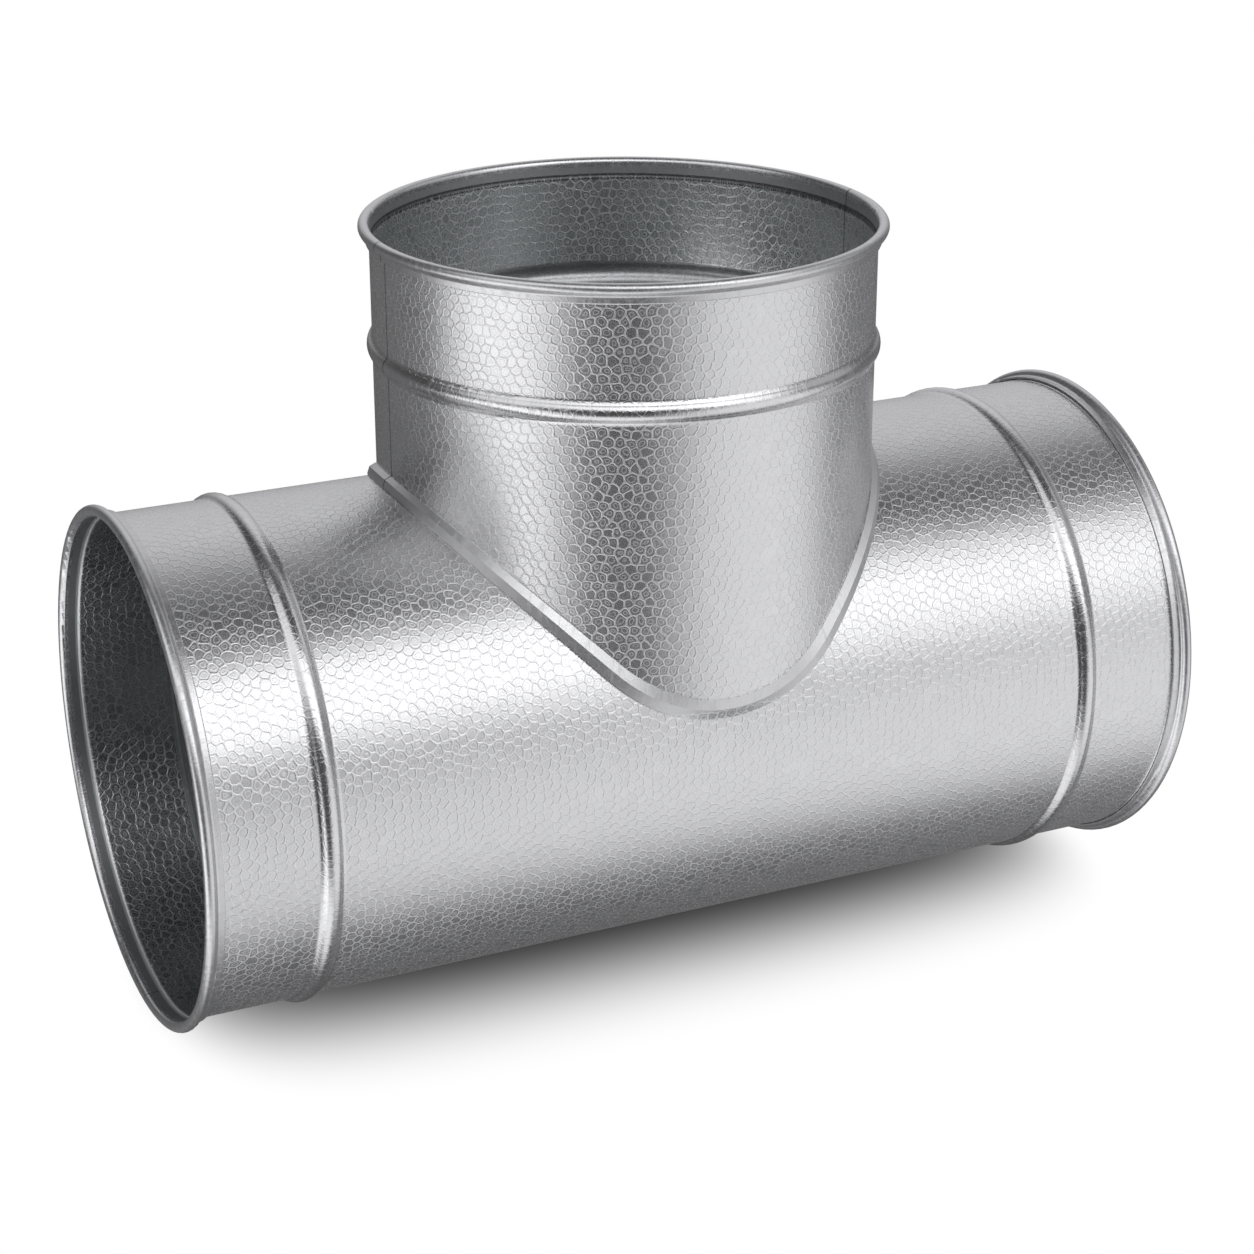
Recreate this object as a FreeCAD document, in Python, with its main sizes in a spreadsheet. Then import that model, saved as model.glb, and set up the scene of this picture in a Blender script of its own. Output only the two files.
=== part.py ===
import FreeCAD, Part
import math
import os

import Sketcher
from FreeCAD import Placement, Rotation, Vector

# Equal duct tee of galvanised sheet steel, in millimetres.
# The run lies along X, the branch rises along +Z, and their axes cross at the origin.
# The run is one rolled sheet. The branch is two pressed half shells, front and rear, that
# meet on the plane Y = 0 and end in a flared foot lapped over the run.

# Driving dimensions: name, value, what it measures
SIZES = [
    ("bore_radius", 100.0, "inside radius of all three ends"),
    ("sheet", 0.8, "thickness of the sheet"),
    ("run_half", 215.0, "from the crossing to the lip at either end of the run"),
    ("branch_reach", 200.0, "from the crossing to the lip of the branch"),
    ("bead_setback", 50.0, "from each lip to the middle of its bead"),
    ("bead_rise", 2.2, "height of the bead above the wall"),
    ("bead_round", 3.6, "radius of the bead's crest, inside the sheet"),
    ("bead_blend", 3.0, "radius of the hollow on each side of the bead"),
    ("mouth_depth", 7.4, "from each lip in to where the bore is widened a little"),
    ("mouth_rise", 0.4, "how far the bore steps out there"),
    ("mouth_flare", 0.1, "how much further out it leans by the time it meets the lip"),
    ("mouth_round", 0.6, "radius of that step's edge, inside the sheet"),
    ("curl_size", 4.5, "outside diameter of the rolled lip"),
    ("curl_return", 1.4, "bend that lays the lip's free edge along the wall"),
    ("tail_length", 2.0, "straight free edge of the lip along the wall"),
    ("tail_gap", 0.2, "between that free edge and the wall"),
    ("opening_lip", 0.3, "how far the edge of the run's opening stands into the branch"),
    ("wall_lift", 1.0, "from the foot's crease up to where the branch wall begins"),
    ("foot_round", 65.0, "radius of the foot's crease at its lowest point, front and rear"),
    ("foot_up", 4.6, "width of the flared foot up the branch"),
    ("foot_down", 3.8, "width of the flared foot along the run"),
    ("foot_step", 0.5, "how far the foot's upper edge stands off the branch"),
    ("foot_crown", 1.0, "rise of the foot's middle above its two edges"),
    ("foot_bite", 0.6, "how deep the foot's root goes into the branch wall"),
    ("lap_gap", 0.1, "between the foot and the run"),
    ("half_gap", 0.2, "between the two halves of the branch"),
    ("groove_width", 0.3, "seam under the run"),
    ("groove_depth", 0.4, "depth of that seam into the wall"),
]

FULL_TURN = 360.0
HALF_TURN = 180.0
CUT_ROOM = 10.0  # how far a cutting shape runs past what it cuts
SIDE_SPAN_COUNT = 16  # spans of the foot's straight stretch on either side
MIDDLE_SPAN_COUNT = 16  # spans of its rounded stretch at the front


def make_sheet(doc):
    """The driving dimensions, one to a row, each under its own name."""
    sheet = doc.addObject("Spreadsheet::Sheet", "sizes")
    for row, (alias, value, meaning) in enumerate(SIZES, start=1):
        sheet.set(f"A{row}", alias)
        sheet.set(f"B{row}", str(value))
        sheet.set(f"C{row}", meaning)
        sheet.setAlias(f"B{row}", alias)
    doc.recompute()
    return sheet


def add(doc, kind, name, **properties):
    made = doc.addObject(kind, name)
    made.Label = name
    for key, value in properties.items():
        setattr(made, key, value)
    return made


def bind(made, **formulas):
    for key, formula in formulas.items():
        made.setExpression(key, formula)


def constrain(sketch, name, formula, *arguments):
    """A named dimension of a sketch that follows the sheet of sizes."""
    index = sketch.addConstraint(Sketcher.Constraint(*arguments))
    sketch.renameConstraint(index, name)
    sketch.setExpression(f".Constraints.{name}", formula)


def arc(centre, radius, first, last):
    circle = Part.Circle(Vector(*centre, 0), Vector(0, 0, 1), radius)
    return Part.ArcOfCircle(circle, first, last)


def line(start, end):
    return Part.LineSegment(Vector(*start, 0), Vector(*end, 0))


def draw_wall(doc, size, name, reach_name, placement):
    """The bore side of one wall, from the crossing out to its rolled lip.

    Along the sketch's X runs the distance from the crossing, and along its Y the distance from
    the axis. The line is level, rises over the bead, is level again, steps out near the end and
    leans out a little, turns through the lip and comes back to lie along the outside of the wall.
    """
    bore = size.bore_radius
    reach = getattr(size, reach_name)
    blend = size.bead_blend + size.sheet
    crest = size.bead_round
    middle = reach - size.bead_setback
    crest_height = bore + size.bead_rise - crest
    slant = math.acos((blend + crest - size.bead_rise) / (blend + crest))
    bead_half = (blend + crest) * math.sin(slant)
    mouth = bore + size.mouth_rise
    mouth_start = reach - size.mouth_depth
    edge = size.mouth_round
    hollow = edge + size.sheet
    tilt = math.acos((hollow + edge - size.mouth_rise) / (hollow + edge))
    step_start = mouth_start - (hollow + edge) * math.sin(tilt)
    curl = size.curl_size / 2
    curl_middle = reach - curl
    lip_foot = mouth + size.mouth_flare
    lean = math.atan(size.mouth_flare / (curl_middle - mouth_start))
    back = size.curl_return
    tail_height = 2 * size.sheet + size.tail_gap
    turn_end = math.pi - math.asin((tail_height - curl + back) / (curl + back))
    back_centre = (
        curl_middle + (curl + back) * math.cos(turn_end),
        lip_foot + curl + (curl + back) * math.sin(turn_end),
    )
    tail_start = (back_centre[0], back_centre[1] - back)
    tail_end = (tail_start[0] - size.tail_length, tail_start[1] - size.tail_length * math.tan(lean))
    down = -math.pi / 2
    up = math.pi / 2

    sketch = add(doc, "Sketcher::SketchObject", name)
    shapes = [
        line((0, bore), (middle - bead_half, bore)),
        arc((middle - bead_half, bore + blend), blend, down, down + slant),
        arc((middle, crest_height), crest, -down - slant, -down + slant),
        arc((middle + bead_half, bore + blend), blend, down - slant, down),
        line((middle + bead_half, bore), (step_start, bore)),
        arc((step_start, bore + hollow), hollow, down, down + tilt),
        arc((mouth_start, mouth - edge), edge, up + lean, up + tilt),
        line((mouth_start, mouth), (curl_middle, lip_foot)),
        arc((curl_middle, lip_foot + curl), curl, down + lean, turn_end),
        arc(back_centre, back, down + lean, turn_end - math.pi),
        line(tail_start, tail_end),
    ]
    inner, rise, top, fall, outer, widen, brim, last, lip, bend, tail = sketch.addGeometry(
        shapes, False
    )
    start, end, centre = 1, 2, 3
    origin = (-1, 1)
    joins = [
        (inner, end, rise, start),
        (rise, end, top, end),
        (top, start, fall, start),
        (fall, end, outer, start),
        (outer, end, widen, start),
        (widen, end, brim, end),
        (brim, start, last, start),
        (last, end, lip, start),
        (lip, end, bend, end),
        (bend, start, tail, start),
    ]
    for first, first_point, second, second_point in joins:
        tangent = Sketcher.Constraint("Tangent", first, first_point, second, second_point)
        sketch.addConstraint(tangent)
    for level in (inner, outer):
        sketch.addConstraint(Sketcher.Constraint("Horizontal", level))
    sketch.addConstraint(Sketcher.Constraint("Parallel", last, tail))
    sketch.addConstraint(Sketcher.Constraint("Equal", rise, fall))
    sketch.addConstraint(Sketcher.Constraint("PointOnObject", inner, start, -2))
    constrain(sketch, "bore", "sizes.bore_radius", "DistanceY", *origin, inner, start, bore)
    constrain(sketch, "outer_bore", "sizes.bore_radius", "DistanceY", *origin, outer, start, bore)
    constrain(sketch, "blend", "sizes.bead_blend + sizes.sheet", "Radius", rise, blend)
    constrain(sketch, "crest", "sizes.bead_round", "Radius", top, crest)
    constrain(
        sketch,
        "crest_height",
        "sizes.bore_radius + sizes.bead_rise - sizes.bead_round",
        *("DistanceY", *origin, top, centre, crest_height),
    )
    constrain(
        sketch,
        "bead_middle",
        f"sizes.{reach_name} - sizes.bead_setback",
        *("DistanceX", *origin, top, centre, middle),
    )
    constrain(
        sketch,
        "mouth",
        "sizes.bore_radius + sizes.mouth_rise",
        *("DistanceY", *origin, last, start, mouth),
    )
    constrain(
        sketch,
        "mouth_start",
        f"sizes.{reach_name} - sizes.mouth_depth",
        *("DistanceX", *origin, last, start, mouth_start),
    )
    constrain(
        sketch,
        "flare",
        "sizes.mouth_flare",
        *("DistanceY", last, start, last, end, size.mouth_flare),
    )
    constrain(sketch, "hollow", "sizes.mouth_round + sizes.sheet", "Radius", widen, hollow)
    constrain(sketch, "edge", "sizes.mouth_round", "Radius", brim, edge)
    constrain(sketch, "curl", "sizes.curl_size / 2", "Radius", lip, curl)
    constrain(
        sketch,
        "curl_middle",
        f"sizes.{reach_name} - sizes.curl_size / 2",
        *("DistanceX", *origin, lip, centre, curl_middle),
    )
    constrain(sketch, "back", "sizes.curl_return", "Radius", bend, back)
    constrain(
        sketch,
        "tail_height",
        "sizes.bore_radius + sizes.mouth_rise + sizes.mouth_flare + 2 * sizes.sheet + sizes.tail_gap",
        *("DistanceY", *origin, tail, start, lip_foot + tail_height),
    )
    constrain(sketch, "tail", "sizes.tail_length", "DistanceX", tail, end, tail, start, size.tail_length)
    sketch.Placement = placement
    doc.recompute()
    return sketch


def thicken(doc, name, sketch):
    """The sheet's section: the drawn line given its thickness on the side away from the bore."""
    section = add(doc, "Part::Offset2D", name, Source=sketch, Mode="Skin", Fill=True)
    bind(section, Value="-sizes.sheet")
    return section


def make_above_crease(doc, size, name, lift_name):
    """A block across the whole tee that fills the space from a lift above the foot's crease.

    Two equal tubes meet on two planes at 45 degrees. At the front and rear, where those planes
    cross, the crease is rounded off.
    """
    lift = getattr(size, lift_name)
    rounding = size.foot_round
    middle = rounding * math.sqrt(2) + lift
    turn = rounding / math.sqrt(2)
    top = size.branch_reach + CUT_ROOM
    sketch = add(doc, "Sketcher::SketchObject", f"{name}_line")
    shapes = [
        line((lift - top, top), (-turn, turn + lift)),
        arc((0, middle), rounding, -math.pi * 3 / 4, -math.pi / 4),
        line((turn, turn + lift), (top - lift, top)),
        line((top - lift, top), (lift - top, top)),
    ]
    left, bottom, right, lid = sketch.addGeometry(shapes, False)
    start, end, centre = 1, 2, 3
    origin = (-1, 1)
    for first, second in ((left, bottom), (bottom, right)):
        sketch.addConstraint(Sketcher.Constraint("Tangent", first, end, second, start))
    for first, second in ((right, lid), (lid, left)):
        sketch.addConstraint(Sketcher.Constraint("Coincident", first, end, second, start))
    sketch.addConstraint(Sketcher.Constraint("Perpendicular", left, right))
    sketch.addConstraint(Sketcher.Constraint("Horizontal", lid))
    sketch.addConstraint(Sketcher.Constraint("PointOnObject", bottom, centre, -2))
    constrain(sketch, "round", "sizes.foot_round", "Radius", bottom, rounding)
    constrain(
        sketch,
        "round_middle",
        f"sizes.foot_round * sqrt(2) + sizes.{lift_name}",
        *("DistanceY", *origin, bottom, centre, middle),
    )
    constrain(
        sketch,
        "top",
        f"sizes.branch_reach + {CUT_ROOM}",
        *("DistanceY", *origin, lid, start, top),
    )
    sketch.Placement = Placement(Vector(), Rotation(Vector(1, 0, 0), 90))
    block = add(doc, "Part::Extrusion", name, Base=sketch, DirMode="Normal", Solid=True)
    depth = f"sizes.bore_radius + sizes.curl_size + {CUT_ROOM}"
    bind(block, LengthFwd=depth, LengthRev=depth)
    return block


def make_run(doc, size):
    """The run: one rolled sheet with a bead and a rolled lip at each end, cut open for the branch."""
    outline = draw_wall(doc, size, "run_wall_line", "run_half", Placement())
    section = thicken(doc, "run_section", outline)
    right = add(
        doc,
        "Part::Revolution",
        "run_right",
        Source=section,
        Axis=Vector(1, 0, 0),
        Base=Vector(),
        Angle=FULL_TURN,
        Solid=True,
    )
    left = add(doc, "Part::Mirroring", "run_left", Source=right, Normal=Vector(1, 0, 0))
    tube = add(doc, "Part::Fuse", "run_uncut", Base=right, Tool=left, Refine=False)
    upright = add(doc, "Part::Cylinder", "run_opening_upright")
    bind(
        upright,
        Radius="sizes.bore_radius - sizes.opening_lip",
        Height=f"sizes.bore_radius + {CUT_ROOM}",
    )
    above = make_above_crease(doc, size, "run_opening_above", "opening_lip")
    opening = add(doc, "Part::Common", "run_opening", Base=upright, Tool=above, Refine=False)
    open_tube = add(doc, "Part::Cut", "run_open", Base=tube, Tool=opening, Refine=False)
    groove = add(doc, "Part::Box", "run_seam_groove")
    bind(
        groove,
        Length=f"2 * (sizes.run_half + {CUT_ROOM})",
        Width="sizes.groove_width",
        Height=f"sizes.groove_depth + sizes.mouth_rise + sizes.mouth_flare + sizes.curl_size + {CUT_ROOM}",
    )
    groove.setExpression("Placement.Base.x", f"-sizes.run_half - {CUT_ROOM}")
    groove.setExpression("Placement.Base.y", "-sizes.groove_width / 2")
    groove.setExpression(
        "Placement.Base.z",
        "-sizes.bore_radius - sizes.sheet - sizes.mouth_rise - sizes.mouth_flare"
        f" - sizes.curl_size - {CUT_ROOM}",
    )
    return add(doc, "Part::Cut", "run_tube", Base=open_tube, Tool=groove, Refine=False)


def crease_height(size, across):
    """How high the foot's crease lies at a distance to one side of the branch's axis."""
    rounding = size.foot_round
    if abs(across) >= rounding / math.sqrt(2):
        return abs(across)
    return rounding * math.sqrt(2) - math.sqrt(rounding**2 - across**2)


def crease_slope(size, across):
    rounding = size.foot_round
    if abs(across) >= rounding / math.sqrt(2):
        return math.copysign(1.0, across)
    return across / math.sqrt(rounding**2 - across**2)


def onto_branch(point, radius):
    """The same point moved straight out from the branch's axis to a radius."""
    return Vector(point.x, point.y, 0).normalize() * radius + Vector(0, 0, point.z)


def onto_run(point, radius):
    """The same point moved straight out from the run's axis to a radius."""
    return Vector(0, point.y, point.z).normalize() * radius + Vector(point.x, 0, 0)


def foot_section(size, azimuth):
    """The flared foot's section, square to its crease, at an angle round the branch from its front.

    Its corners run from inside the branch's wall out over the crown to the free edge on the
    run, and back through the run's surface to the wall. What lies below the run's surface is
    cut away later.
    """
    radius = size.bore_radius + size.sheet
    across = radius * math.sin(azimuth)
    crease = Vector(across, -radius * math.cos(azimuth), crease_height(size, across))
    along = Vector(
        math.cos(azimuth),
        math.sin(azimuth),
        crease_slope(size, across) * math.cos(azimuth),
    ).normalize()
    branch_out = Vector(crease.x, crease.y, 0).normalize()
    run_out = Vector(0, crease.y, crease.z).normalize()
    middle_out = (branch_out + run_out).normalize()
    upper = crease + branch_out.cross(along).normalize() * size.foot_up
    lower = crease + along.cross(run_out).normalize() * size.foot_down
    upper_edge = onto_branch(upper, radius + size.foot_step)
    lower_edge = onto_run(lower, radius + size.lap_gap + size.sheet)
    crown = (upper_edge + lower_edge) / 2 + middle_out * size.foot_crown
    corners = [
        onto_branch(upper, radius - size.foot_bite),
        upper_edge,
        crown,
        lower_edge,
        onto_run(lower, radius + size.lap_gap - size.foot_bite),
        crease - middle_out * size.foot_bite,
    ]
    flat = [corner - along * (corner - crease).dot(along) for corner in corners]
    return Part.makePolygon(flat + flat[:1])


def make_foot(doc, size, name, first, last, spans):
    """A stretch of the front half's flared foot, from one angle round the branch to another."""
    turn = (last - first) / spans
    sections = [foot_section(size, first + turn * station) for station in range(spans + 1)]
    foot = add(doc, "Part::Feature", name)
    foot.Shape = Part.makeLoft(sections, True, False)
    foot.Placement = Placement()
    return foot


def make_branch(doc, size):
    """The branch: a front half shell, its foot included, and its mirror image behind it."""
    upright = Placement(
        Vector(),
        Rotation(Vector(0, 0, 1), Vector(1, 0, 0), Vector(0, 1, 0), "XYZ"),
    )
    outline = draw_wall(doc, size, "branch_wall_line", "branch_reach", upright)
    section = thicken(doc, "branch_section", outline)
    whole = add(
        doc,
        "Part::Revolution",
        "branch_wall_whole",
        Source=section,
        Axis=Vector(0, 0, -1),
        Base=Vector(),
        Angle=HALF_TURN,
        Solid=True,
    )
    above = make_above_crease(doc, size, "branch_wall_above", "wall_lift")
    wall = add(doc, "Part::Common", "branch_wall", Base=whole, Tool=above, Refine=False)
    side = math.pi / 2
    round_end = math.asin(size.foot_round / math.sqrt(2) / (size.bore_radius + size.sheet))
    feet = [
        make_foot(doc, size, "foot_left", -side, -round_end, SIDE_SPAN_COUNT),
        make_foot(doc, size, "foot_middle", -round_end, round_end, MIDDLE_SPAN_COUNT),
        make_foot(doc, size, "foot_right", round_end, side, SIDE_SPAN_COUNT),
    ]
    footed = add(doc, "Part::MultiFuse", "branch_footed", Shapes=[wall, *feet], Refine=False)
    run_space = add(doc, "Part::Cylinder", "branch_run_space")
    run_space.Placement = Placement(Vector(), Rotation(Vector(0, 1, 0), 90))
    bind(
        run_space,
        Radius="sizes.bore_radius + sizes.sheet + sizes.lap_gap",
        Height="2 * sizes.run_half",
    )
    run_space.setExpression("Placement.Base.x", "-sizes.run_half")
    saddled = add(doc, "Part::Cut", "branch_saddled", Base=footed, Tool=run_space, Refine=False)
    gap = add(doc, "Part::Box", "branch_half_gap")
    bind(
        gap,
        Length=f"2 * (sizes.bore_radius + sizes.curl_size + {CUT_ROOM})",
        Width="sizes.half_gap",
        Height=f"sizes.branch_reach + {CUT_ROOM}",
    )
    gap.setExpression("Placement.Base.x", f"-sizes.bore_radius - sizes.curl_size - {CUT_ROOM}")
    gap.setExpression("Placement.Base.y", "-sizes.half_gap / 2")
    front = add(doc, "Part::Cut", "branch_front_half", Base=saddled, Tool=gap, Refine=False)
    rear = add(doc, "Part::Mirroring", "branch_rear_half", Source=front, Normal=Vector(0, 1, 0))
    return [front, rear]


def check(doc, nodes):
    """Stop before anything is written if an object failed or a piece isn't one sound solid."""
    for made in doc.Objects:
        if "Invalid" in made.State or "Error" in made.State:
            raise RuntimeError(f"{made.Label} failed: {made.State}")
    for node in nodes:
        shape = node.Shape
        if shape.isNull() or not shape.isValid():
            raise RuntimeError(f"{node.Label} has no valid shape")
        if len(shape.Solids) != 1:
            raise RuntimeError(f"{node.Label} is {len(shape.Solids)} solids, not one")


def main():
    doc = FreeCAD.newDocument("equal_duct_tee")
    size = make_sheet(doc)
    nodes = [make_run(doc, size), *make_branch(doc, size)]
    doc.recompute()
    check(doc, nodes)
    os.makedirs("parts", exist_ok=True)
    for node in nodes:
        node.Shape.exportStep(f"parts/{node.Label}.step")
        print(node.Label, round(node.Shape.Volume, 1), "mm3")


main()
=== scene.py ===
import math
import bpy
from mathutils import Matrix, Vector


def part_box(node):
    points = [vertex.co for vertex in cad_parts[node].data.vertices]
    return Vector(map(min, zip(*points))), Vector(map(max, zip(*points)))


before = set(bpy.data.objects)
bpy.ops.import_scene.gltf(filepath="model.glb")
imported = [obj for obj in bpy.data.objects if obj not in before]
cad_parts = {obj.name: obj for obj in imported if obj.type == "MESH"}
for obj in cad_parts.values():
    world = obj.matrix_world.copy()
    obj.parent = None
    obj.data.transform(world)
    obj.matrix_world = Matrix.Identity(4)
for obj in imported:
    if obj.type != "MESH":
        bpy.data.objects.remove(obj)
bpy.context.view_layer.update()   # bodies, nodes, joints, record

from types import SimpleNamespace

import bmesh
import bpy
from mathutils import Matrix, Vector

# Equal duct tee of galvanised sheet steel: the CAD solids with their finish, which is darker
# inside as painted shade, on a white studio floor that glows with a painted shadow. Lengths are
# in metres, the run lies along X, and the branch goes up along Z.

# Sheet
BORE = 0.100  # inside radius of run and branch
SHEET = 0.0008
WALL_MIDDLE = BORE + SHEET / 2
RUN_HALF = 0.215  # from the crossing to either lip of the run
BRANCH_REACH = 0.200  # from the crossing to the lip of the branch
BEAD_SETBACK = 0.050  # from a lip to the middle of its bead
BEAD_HALF = 0.0053  # half the width of a bead
BEAD_CORE = 0.85 * BEAD_HALF  # how far from its middle a bead looks drawn all over
BEAD_RISE = 0.0022
MOUTH_DEPTH = 0.0078  # from a lip in to where the bore is a little wider
MOUTH_RISE = 0.00045
LIP_DEPTH = 0.0036  # from a lip in to where the light still reaches
FOOT_DEPTH = 0.080  # from the lip of the branch in to where its foot may begin
PROUD_FROM = 0.00048  # off the middle of the wall, where lip and foot begin to stand proud
PROUD_TO = 0.00072  # and where they do so wholly
JOINT_CORE = 0.0003  # half the width of the dark joint between the halves of the branch
JOINT_EDGE = 0.0006  # the same with its soft edges

# Embossed spangle
CELL = 0.0041  # middle to middle of its cells
ROW = math.sqrt(3) / 2  # from one row of cells to the next, as a share of a cell
UNSTEADY = 0.48  # how far the middle of a cell wanders, as a share of a cell
ROUNDING = 0.36  # how round the corners of a cell are
FAR = 9.0  # farther than any cell that is looked at, in cells
BEND = 0.5  # how far the whole net is bent, as a share of a cell
BEND_SCALE = 1.1 / CELL
BEND_DETAIL = (1.0, 0.5)  # detail and roughness of the noise, as in each of the next ones
LINE = 0.00038  # half the width of the line between two cells
LINE_CORE = 0.03  # how far in from the edge the line is whole, where 1 is the middle of the cell
RING_LINE = 0.00025  # half the width of the ring inside a cell
RING_INWARD = 0.48  # how far in from the edge the ring lies, where 1 is the middle of the cell
RING_NONE = 0.1  # share of cells without a ring
RING_FULL = 0.4  # share of cells whose ring is missing or faint
RING_MOST = 0.85  # how strong a ring is beside a line
WORN_SCALE = 0.45 / CELL
WORN_DETAIL = (2.0, 0.6)
WORN_NOISE = (0.36, 0.5)  # lines are worn where the noise is below the first
WORN_LINE = 0.7  # what is left of a line where it is worn

# Share of the embossing that is lost on beads, and on mouths, lips and foot
LOST_ON_BEAD = 0.55
LOST_ON_EDGE = 0.8

# Marks, grain and patches: how many to the metre, and their height beside that of a line
MARK_SCALE = 90.0
MARK_DETAIL = (4.0, 0.6)
MARK_STRETCH = 5.0  # how much narrower a mark is round the tube than along it
MARK_NOISE = (0.52, 0.66)  # the noise at which a mark begins, and at which it is whole
MARK_HEIGHT = 0.3
GRAIN_SCALE = 2200.0
GRAIN_DETAIL = (3.0, 0.65)
GRAIN_NOISE = (0.3, 0.7)  # the range of it that the roughness follows
GRAIN_HEIGHT = 0.3
PATCH_SCALE = 55.0
PATCH_DETAIL = (2.0, 0.5)
PATCH_NOISE = (0.35, 0.65)  # the noise at which a patch begins, and at which it is whole
RING_HEIGHT = 0.35
BUMP_STRENGTH = 0.7
BUMP_HEIGHT = 0.00009

# Colours
ZINC_DARK = (0.635, 0.635, 0.645, 1)
ZINC_LIGHT = (0.675, 0.675, 0.685, 1)
ZINC_PATCH = (0.65, 0.65, 0.66, 1)
ZINC_PROUD = (0.5, 0.505, 0.515, 1)
ZINC_LINE = (0.95, 0.95, 0.955, 1)
DARK = (0.12, 0.12, 0.12, 1)
WHITE = (1, 1, 1, 1)
PROUD_SHARE = 0.2  # how much of its own colour a lip or the foot has
LINE_SHARE = 0.28  # how much of its own colour a line has, outside
# Painted shade inside the tubes: its tint, and how much darker it is on the drawn parts
PAINTED_SHADE_TINT = (1.0, 1.03, 1.045)
DRAWN_PAINTED_SHADE = 0.3  # how much darker the drawn parts are inside

# Roughness of the sheet from its grain, and how much rougher each part is
ROUGHNESS = (0.21, 0.35)
ROUGHER_BEAD = -0.08
ROUGHER_PROUD = 0.04
ROUGHER_FOOT = 0.05
ROUGHER_INSIDE = 0.2  # on the drawn parts inside
ROUGHER_LINE = 0.16
ROUGHER_MARK = 0.1

# Camera, fitted to the photograph
CAMERA_PLACE = Vector((-0.4563, -0.9877, 0.4685))
CAMERA_YAW = 0.434  # radians round from +Y towards +X
CAMERA_PITCH = 0.388  # radians down
SENSOR = 36.0  # millimetres, as the lens
LENS = 80.5

# Studio: strength of the room, then of each soft box in turn, given as degrees round to the right
# of the camera's side, degrees above level, radius of its core and of its edge, strength
ROOM_LIGHT = 0.07
ROOM_TINT = (0.985, 0.985, 1.0, 1)
SOFT_BOXES = [
    (57, 36, 6, 30, 1.6),
    (28, 42, 6, 27, 0.9),
    (108, 30, 6, 27, 0.5),
    (-2, 44, 4, 26, 1.4),
    (-54, 40, 4, 34, 1.1),
    (-12, -60, 8, 34, 1.1),
    (62, -22, 10, 50, 0.96),
    (-57, -24, 8, 38, 1.5),
    (120, -24, 10, 50, 0.14),
    (-120, -24, 10, 50, 0.1),
    (180, 28, 8, 48, 0.66),
    (180, 60, 8, 38, 0.12),
    (0, -90, 10, 60, 0.05),
]

# Floor, which glows with a painted shadow of the run: half its width, and the share of open sky
# where the painted shadow is black and where the floor is white
FLOOR_REACH = 3.0
SKY_BLACK = -0.04
SKY_WHITE = 0.58
END_SPREAD = 0.12  # how softly the shadow ends past either lip of the run

# A Mix node's two inputs and its output, which it has once for each kind of value
MIX_SOCKETS = {"VECTOR": (4, 5, 1), "RGBA": (6, 7, 2)}

scene = bpy.context.scene


class Tree:
    """The node tree of a material or a world, with short calls that add and join nodes."""

    def __init__(self, owner):
        owner.use_nodes = True
        self.tree = owner.node_tree
        self.tree.nodes.clear()

    def node(self, kind, inputs=(), **settings):
        """A new node. Each of its inputs is a plain value, or the output that feeds it."""
        made = self.tree.nodes.new(kind)
        for key, value in settings.items():
            setattr(made, key, value)
        pairs = inputs.items() if isinstance(inputs, dict) else enumerate(inputs)
        for key, value in pairs:
            if isinstance(value, bpy.types.NodeSocket):
                self.tree.links.new(value, made.inputs[key])
            else:
                made.inputs[key].default_value = value
        return made

    def math(self, operation, *values):
        return self.node("ShaderNodeMath", values, operation=operation).outputs[0]

    def apart(self, one, other):
        """How far apart two values are."""
        return self.math("ABSOLUTE", self.math("SUBTRACT", one, other))

    def fade(self, value, low, high, first=0.0, last=1.0):
        """A smooth change from first to last as value goes from low to high."""
        inputs = {
            "Value": value,
            "From Min": low,
            "From Max": high,
            "To Min": first,
            "To Max": last,
        }
        made = self.node("ShaderNodeMapRange", inputs, interpolation_type="SMOOTHSTEP")
        return made.outputs["Result"]

    def vector(self, x, y, z):
        return self.node("ShaderNodeCombineXYZ", (x, y, z)).outputs[0]

    def vector_math(self, operation, *values, output=0):
        made = self.node("ShaderNodeVectorMath", values, operation=operation)
        return made.outputs[output]

    def axes(self, vector):
        return self.node("ShaderNodeSeparateXYZ", (vector,)).outputs

    def place(self, kind="Object"):
        return self.node("ShaderNodeTexCoord").outputs[kind]

    def noise(self, vector, scale, detail, roughness, output="Fac"):
        inputs = {"Vector": vector, "Scale": scale, "Detail": detail, "Roughness": roughness}
        return self.node("ShaderNodeTexNoise", inputs).outputs[output]

    def chance(self, vector, dimensions):
        """A colour of three random values, the same wherever the vector is the same."""
        inputs = {"Vector": vector}
        made = self.node("ShaderNodeTexWhiteNoise", inputs, noise_dimensions=dimensions)
        return made.outputs["Color"]

    def blend(self, factor, first, second, kind="RGBA"):
        """The first colour or vector where factor is 0, the second where it is 1."""
        one, other, output = MIX_SOCKETS[kind]
        inputs = {"Factor": factor, one: first, other: second}
        return self.node("ShaderNodeMix", inputs, data_type=kind).outputs[output]


def unrolled(tree, along):
    """The sheet laid flat: distance round the tube, along it, from its axis, and from Y = 0."""
    axes = tree.axes(tree.place())
    if along == "X":
        length, side, up = axes["X"], axes["Y"], axes["Z"]
    else:
        length, side, up = axes["Z"], axes["Y"], axes["X"]
    round_way = tree.math("MULTIPLY", tree.math("ARCTAN2", side, up), WALL_MIDDLE)
    squares = tree.math("MULTIPLY", side, side)
    squares = tree.math("ADD", squares, tree.math("MULTIPLY", up, up))
    return round_way, length, tree.math("SQRT", squares), side


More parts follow.
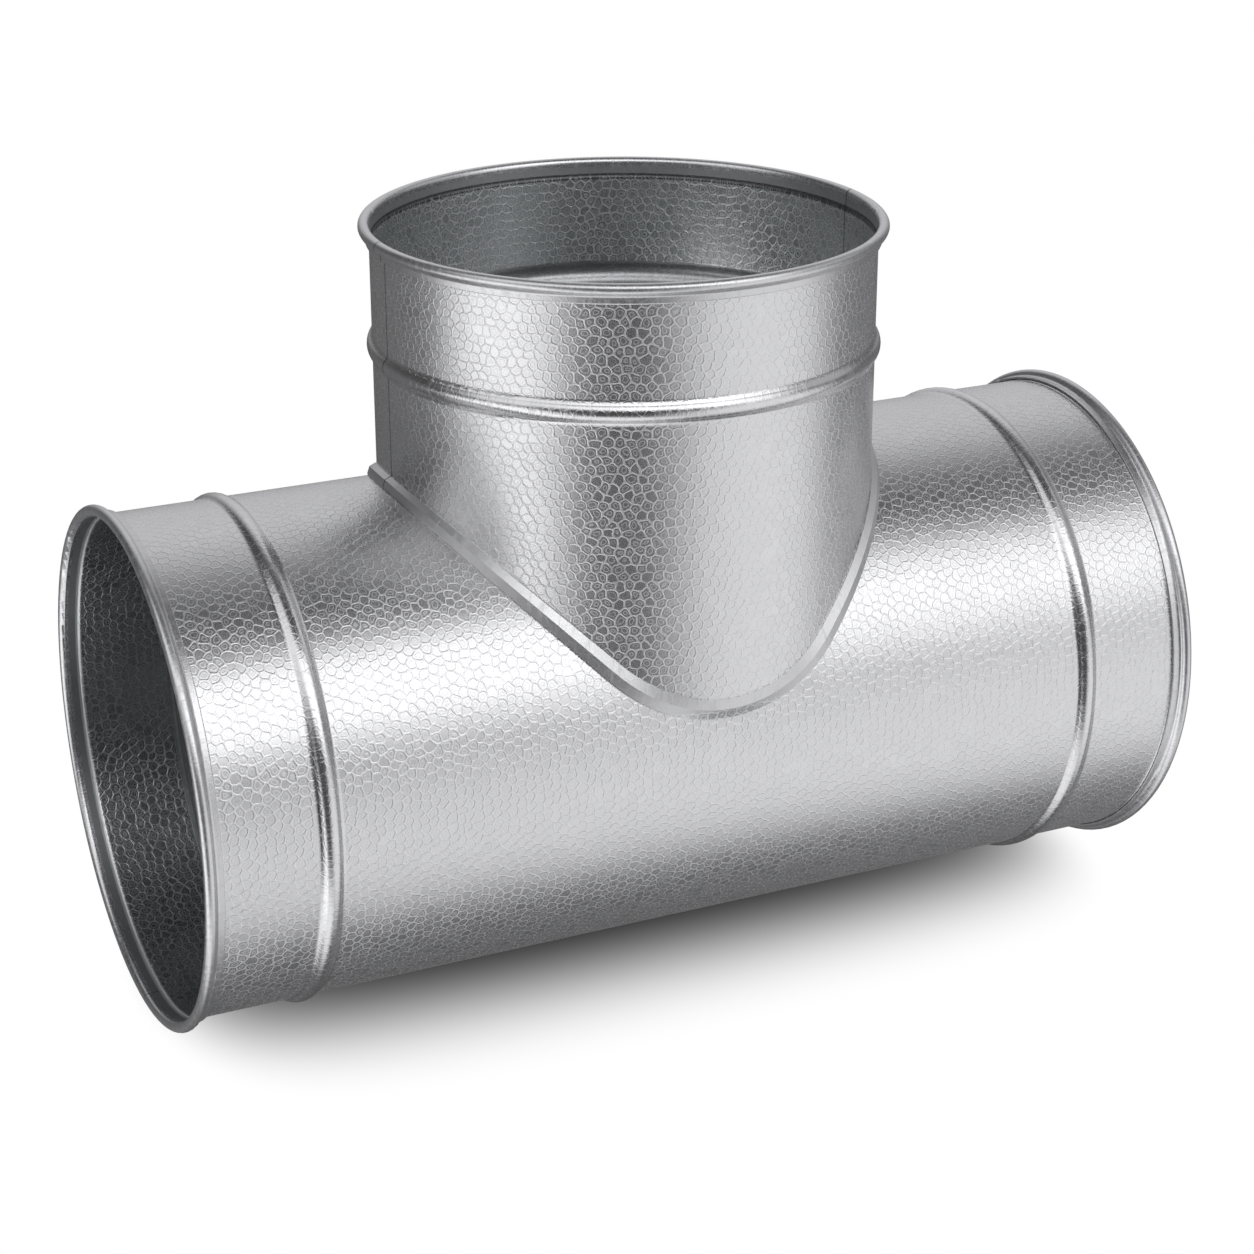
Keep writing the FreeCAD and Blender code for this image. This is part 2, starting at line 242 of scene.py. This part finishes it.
def sheet_parts(tree, along, reach):
    """Where a point is on its tube, and how much it belongs to each part of it, from 0 to 1.

    Bead and mouth are told by their place along the tube, lip and foot by their radius.
    """
    round_way, length, radius, side = unrolled(tree, along)
    out = tree.math("ABSOLUTE", length)
    from_bead = tree.apart(out, reach - BEAD_SETBACK)
    mouth_start = reach - MOUTH_DEPTH
    bead = tree.fade(from_bead, BEAD_CORE, BEAD_HALF, 1.0, 0.0)
    mouth = tree.fade(out, mouth_start - SHEET, mouth_start)

    middle = tree.math("MULTIPLY_ADD", mouth, MOUTH_RISE, WALL_MIDDLE)
    middle = tree.math("ADD", middle, tree.fade(from_bead, 0.0, BEAD_HALF, BEAD_RISE, 0.0))
    off_middle = tree.math("SUBTRACT", radius, middle)
    proud = tree.fade(off_middle, PROUD_FROM, PROUD_TO)
    edged = tree.math("MAXIMUM", mouth, proud)
    far_down = tree.math("LESS_THAN", out, reach - FOOT_DEPTH)
    behind = tree.math("LESS_THAN", off_middle, 0.0)
    past_lip = tree.math("LESS_THAN", out, reach - LIP_DEPTH)
    return SimpleNamespace(
        round_way=round_way,
        length=length,
        bead=bead,
        proud=proud,
        foot=tree.math("MULTIPLY", far_down, proud),
        edged=edged,
        drawn=tree.math("MAXIMUM", edged, bead),
        inside=tree.math("MULTIPLY", behind, past_lip),
        off_step=tree.fade(tree.apart(out, mouth_start), SHEET, 2 * SHEET),
        off_joint=tree.math("ABSOLUTE", side),
    )


def nearest_cells(tree, place):
    """Of a net of six-sided cells with unsteady middles: how near the edge a point is, its cell.

    The first runs from 0 on an edge to about 1 in the middle of a cell.
    """
    axes = tree.axes(place)
    row = tree.math("DIVIDE", axes["Y"], ROW)
    column = tree.math("MULTIPLY_ADD", row, -0.5, axes["X"])
    row, column = tree.math("ROUND", row), tree.math("ROUND", column)
    own = tree.vector(column, row, 0.0)
    middle = tree.vector(
        tree.math("MULTIPLY_ADD", row, 0.5, column), tree.math("MULTIPLY", row, ROW), 0.0
    )
    offset = tree.vector_math("SUBTRACT", middle, place)
    first, second, found = FAR, FAR, own
    for across in (-1, 0, 1):
        for up in (-1, 0, 1):
            cell = tree.vector_math("ADD", own, (across, up, 0.0))
            step = (across + up / 2 - UNSTEADY / 2, up * ROW - UNSTEADY / 2, 0.0)
            spot = tree.vector_math("ADD", offset, step)
            wander = (UNSTEADY, UNSTEADY, 0.0)
            spot = tree.vector_math("MULTIPLY_ADD", tree.chance(cell, "2D"), wander, spot)
            away = tree.vector_math("LENGTH", spot, output="Value")
            nearer = tree.math("LESS_THAN", away, first)
            found = tree.blend(nearer, found, cell, "VECTOR")
            farther = tree.math("MAXIMUM", first, away)
            second = tree.math("SMOOTH_MIN", second, farther, ROUNDING)
            first = tree.math("MINIMUM", first, away)
    return tree.math("SUBTRACT", second, first), found


def spangle(tree, flat):
    """The embossing: the line between rounded cells, the ring in most, the tone of each."""
    bend = tree.noise(flat, BEND_SCALE, *BEND_DETAIL, output="Color")
    bend = tree.vector_math(
        "MULTIPLY_ADD", bend, (BEND, BEND, 0.0), (-BEND / 2, -BEND / 2, 0.0)
    )
    place = tree.vector_math("MULTIPLY_ADD", flat, (1 / CELL, 1 / CELL, 0.0), bend)
    inward, cell = nearest_cells(tree, place)
    chance = tree.node("ShaderNodeSeparateColor", (tree.chance(cell, "3D"),)).outputs
    worn = tree.noise(flat, WORN_SCALE, *WORN_DETAIL)
    worn = tree.fade(worn, *WORN_NOISE, WORN_LINE, 1.0)
    line = tree.fade(inward, LINE_CORE, 2 * LINE / CELL, 1.0, 0.0)
    line = tree.math("MULTIPLY", line, worn)
    off_ring = tree.apart(inward, RING_INWARD)
    ring = tree.fade(off_ring, 0.0, 2 * RING_LINE / CELL, 1.0, 0.0)
    strength = tree.fade(chance["Red"], RING_NONE, RING_FULL, 0.0, RING_MOST)
    return line, tree.math("MULTIPLY", ring, strength), chance["Blue"]


def galvanised(name, along, reach, inside_painted_shade, step_painted_shade, inside_line_glint, joint_share):
    """Zinc coated sheet with its embossed spangle, which is faint on the parts drawn out of it.

    The painted shades are those of the wall inside and of its step to the mouth. The shares say
    how much of their own colour the lines inside, partly a painted glint, and the joint between
    the halves have.
    """
    material = bpy.data.materials.new(name)
    tree = Tree(material)
    parts = sheet_parts(tree, along, reach)
    flat = tree.vector(parts.round_way, parts.length, 0.0)
    line, ring, cell_tone = spangle(tree, flat)
    kept = tree.math("MULTIPLY_ADD", parts.bead, -LOST_ON_BEAD, 1.0)
    kept_on_edge = tree.math("MULTIPLY_ADD", parts.edged, -LOST_ON_EDGE, 1.0)
    kept = tree.math("MULTIPLY", kept, kept_on_edge)
    lines = tree.math("MULTIPLY", tree.math("MAXIMUM", line, ring), kept)

    # Height: the embossing, fine marks across the drawn parts, and grain
    narrowed = tree.math("MULTIPLY", parts.round_way, MARK_STRETCH)
    narrowed = tree.vector(narrowed, parts.length, 0.0)
    marks = tree.fade(tree.noise(narrowed, MARK_SCALE, *MARK_DETAIL), *MARK_NOISE)
    marks = tree.math("MULTIPLY", marks, parts.drawn)
    grain = tree.noise(flat, GRAIN_SCALE, *GRAIN_DETAIL)
    height = tree.math("MULTIPLY", tree.math("MULTIPLY_ADD", ring, RING_HEIGHT, line), kept)
    height = tree.math("MULTIPLY_ADD", marks, MARK_HEIGHT, height)
    height = tree.math("MULTIPLY_ADD", grain, GRAIN_HEIGHT, height)
    bump = tree.node(
        "ShaderNodeBump",
        {"Strength": BUMP_STRENGTH, "Distance": BUMP_HEIGHT, "Height": height},
    ).outputs[0]

    # Colour outside
    patches = tree.fade(tree.noise(flat, PATCH_SCALE, *PATCH_DETAIL), *PATCH_NOISE)
    ground = tree.blend(cell_tone, ZINC_DARK, ZINC_LIGHT)
    ground = tree.blend(patches, ground, ZINC_PATCH)
    ground = tree.blend(tree.math("MULTIPLY", parts.proud, PROUD_SHARE), ground, ZINC_PROUD)

    # Painted shade inside, where less light comes, with its own tone on the step to the mouth and
    # darker on the drawn parts
    shade = tree.fade(parts.off_step, 0.0, 1.0, step_painted_shade, inside_painted_shade)
    drawn_shade = tree.math("MULTIPLY_ADD", parts.drawn, -DRAWN_PAINTED_SHADE, 1.0)
    shade = tree.math("MULTIPLY", shade, drawn_shade)
    shades = [tree.math("MULTIPLY", shade, tint) for tint in PAINTED_SHADE_TINT]
    shade = tree.node("ShaderNodeCombineColor", shades).outputs[0]
    ground = tree.blend(parts.inside, ground, shade)

    # Inside, the lines keep their own light colour over the painted shade: less of it on the run,
    # more on the branch as a painted glint
    more_glint_inside = inside_line_glint - LINE_SHARE
    lighter = tree.math("MULTIPLY_ADD", parts.inside, more_glint_inside, LINE_SHARE)
    colour = tree.blend(tree.math("MULTIPLY", lines, lighter), ground, ZINC_LINE)
    joint = tree.fade(parts.off_joint, JOINT_CORE, JOINT_EDGE, joint_share, 0.0)
    colour = tree.blend(joint, colour, DARK)

    rough = tree.fade(grain, *GRAIN_NOISE, *ROUGHNESS)
    for part, rougher in (
        (parts.bead, ROUGHER_BEAD),
        (parts.proud, ROUGHER_PROUD),
        (parts.foot, ROUGHER_FOOT),
        (tree.math("MULTIPLY", parts.inside, parts.drawn), ROUGHER_INSIDE),
        (lines, ROUGHER_LINE),
        (marks, ROUGHER_MARK),
    ):
        rough = tree.math("MULTIPLY_ADD", part, rougher, rough)
    surface = tree.node(
        "ShaderNodeBsdfPrincipled",
        {"Base Color": colour, "Metallic": 1.0, "Roughness": rough, "Normal": bump},
    )
    tree.node("ShaderNodeOutputMaterial", (surface.outputs[0],))
    return material


def finish_nodes():
    # The tones inside and on the step are painted shade, and the line share inside is partly a
    # painted glint
    run_finish = galvanised(
        "galvanised_run",
        "X",
        RUN_HALF,
        inside_painted_shade=0.4,
        step_painted_shade=0.9,
        inside_line_glint=0.12,
        joint_share=0.0,
    )
    branch_finish = galvanised(
        "galvanised_branch",
        "Z",
        BRANCH_REACH,
        inside_painted_shade=0.6,
        step_painted_shade=0.16,
        inside_line_glint=0.42,
        joint_share=0.65,
    )
    for name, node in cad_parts.items():
        node.data.materials.clear()
        node.data.materials.append(run_finish if name == "run_tube" else branch_finish)


def link(made):
    scene.collection.objects.link(made)
    return made


def put_camera():
    ahead = Vector(
        (
            math.sin(CAMERA_YAW) * math.cos(CAMERA_PITCH),
            math.cos(CAMERA_YAW) * math.cos(CAMERA_PITCH),
            -math.sin(CAMERA_PITCH),
        )
    )
    right = Vector((math.cos(CAMERA_YAW), -math.sin(CAMERA_YAW), 0.0))
    above = right.cross(ahead)
    turn = Matrix((right, above, -ahead)).transposed().to_4x4()
    data = bpy.data.cameras.new("camera")
    data.sensor_width = SENSOR
    data.lens = LENS
    camera = link(bpy.data.objects.new("camera", data))
    camera.matrix_world = Matrix.Translation(CAMERA_PLACE) @ turn
    scene.camera = camera


def aim(turn, height):
    """A direction, as degrees round to the right of the camera's side and above level."""
    level = math.atan2(-math.cos(CAMERA_YAW), -math.sin(CAMERA_YAW)) + math.radians(turn)
    height = math.radians(height)
    flat = math.cos(height)
    return (math.cos(level) * flat, math.sin(level) * flat, math.sin(height))


def light_studio():
    """A dim room with a broad glow for each soft box. The camera itself sees plain white."""
    world = bpy.data.worlds.new("studio")
    scene.world = world
    tree = Tree(world)
    way = tree.place("Generated")
    glow = ROOM_LIGHT
    for turn, height, core, edge, strength in SOFT_BOXES:
        near = tree.vector_math("DOT_PRODUCT", way, aim(turn, height), output="Value")
        first, last = math.cos(math.radians(edge)), math.cos(math.radians(core))
        glow = tree.math("ADD", tree.fade(near, first, last, 0.0, strength), glow)
    room = tree.node("ShaderNodeBackground", {"Color": ROOM_TINT, "Strength": glow})
    white = tree.node("ShaderNodeBackground", {"Color": WHITE})
    seen = tree.node("ShaderNodeLightPath").outputs["Is Camera Ray"]
    mix = tree.node("ShaderNodeMixShader", (seen, room.outputs[0], white.outputs[0]))
    tree.node("ShaderNodeOutputWorld", (mix.outputs[0],))


def painted_shadow_sky(tree, level):
    """The share of the sky that the run leaves open over each point of the floor it lies on,
    which the floor shows as a painted shadow.

    A run without ends takes level**2 / (y**2 + level**2) of it, and this one less past its lips.
    """
    axes = tree.axes(tree.place())
    squares = tree.math("MULTIPLY_ADD", axes["Y"], axes["Y"], level**2)
    spread = tree.math("MULTIPLY", squares, END_SPREAD)
    sides = []
    for end in (RUN_HALF, -RUN_HALF):
        past = tree.math("ADD", axes["X"], end)
        away = tree.math("SQRT", tree.math("MULTIPLY_ADD", past, past, spread))
        sides.append(tree.math("DIVIDE", past, away))
    between = tree.math("SUBTRACT", *sides)
    taken = tree.math("DIVIDE", level**2 / 2, squares)
    return tree.math("SUBTRACT", 1.0, tree.math("MULTIPLY", between, taken))


def lay_floor():
    """A white floor under the run, wide enough to fill the view. It glows, and the run's shadow
    on it is painted.
    """
    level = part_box("run_tube")[0].z
    shape = bmesh.new()
    bmesh.ops.create_grid(
        shape,
        x_segments=1,
        y_segments=1,
        size=FLOOR_REACH,
        matrix=Matrix.Translation((0, 0, level)),
    )
    mesh = bpy.data.meshes.new("floor")
    shape.to_mesh(mesh)
    shape.free()
    floor = link(bpy.data.objects.new("floor", mesh))
    material = bpy.data.materials.new("floor_painted_shadow")
    tree = Tree(material)
    # Painted shadow: the floor glows as bright as the sky the run leaves open over it
    painted_floor_light = tree.fade(painted_shadow_sky(tree, level), SKY_BLACK, SKY_WHITE)
    glow = tree.node("ShaderNodeEmission", {"Color": WHITE, "Strength": painted_floor_light})
    tree.node("ShaderNodeOutputMaterial", (glow.outputs[0],))
    mesh.materials.append(material)
    floor.visible_glossy = False
    floor.visible_shadow = False


scene.view_settings.view_transform = "Standard"
finish_nodes()
put_camera()
light_studio()
lay_floor()
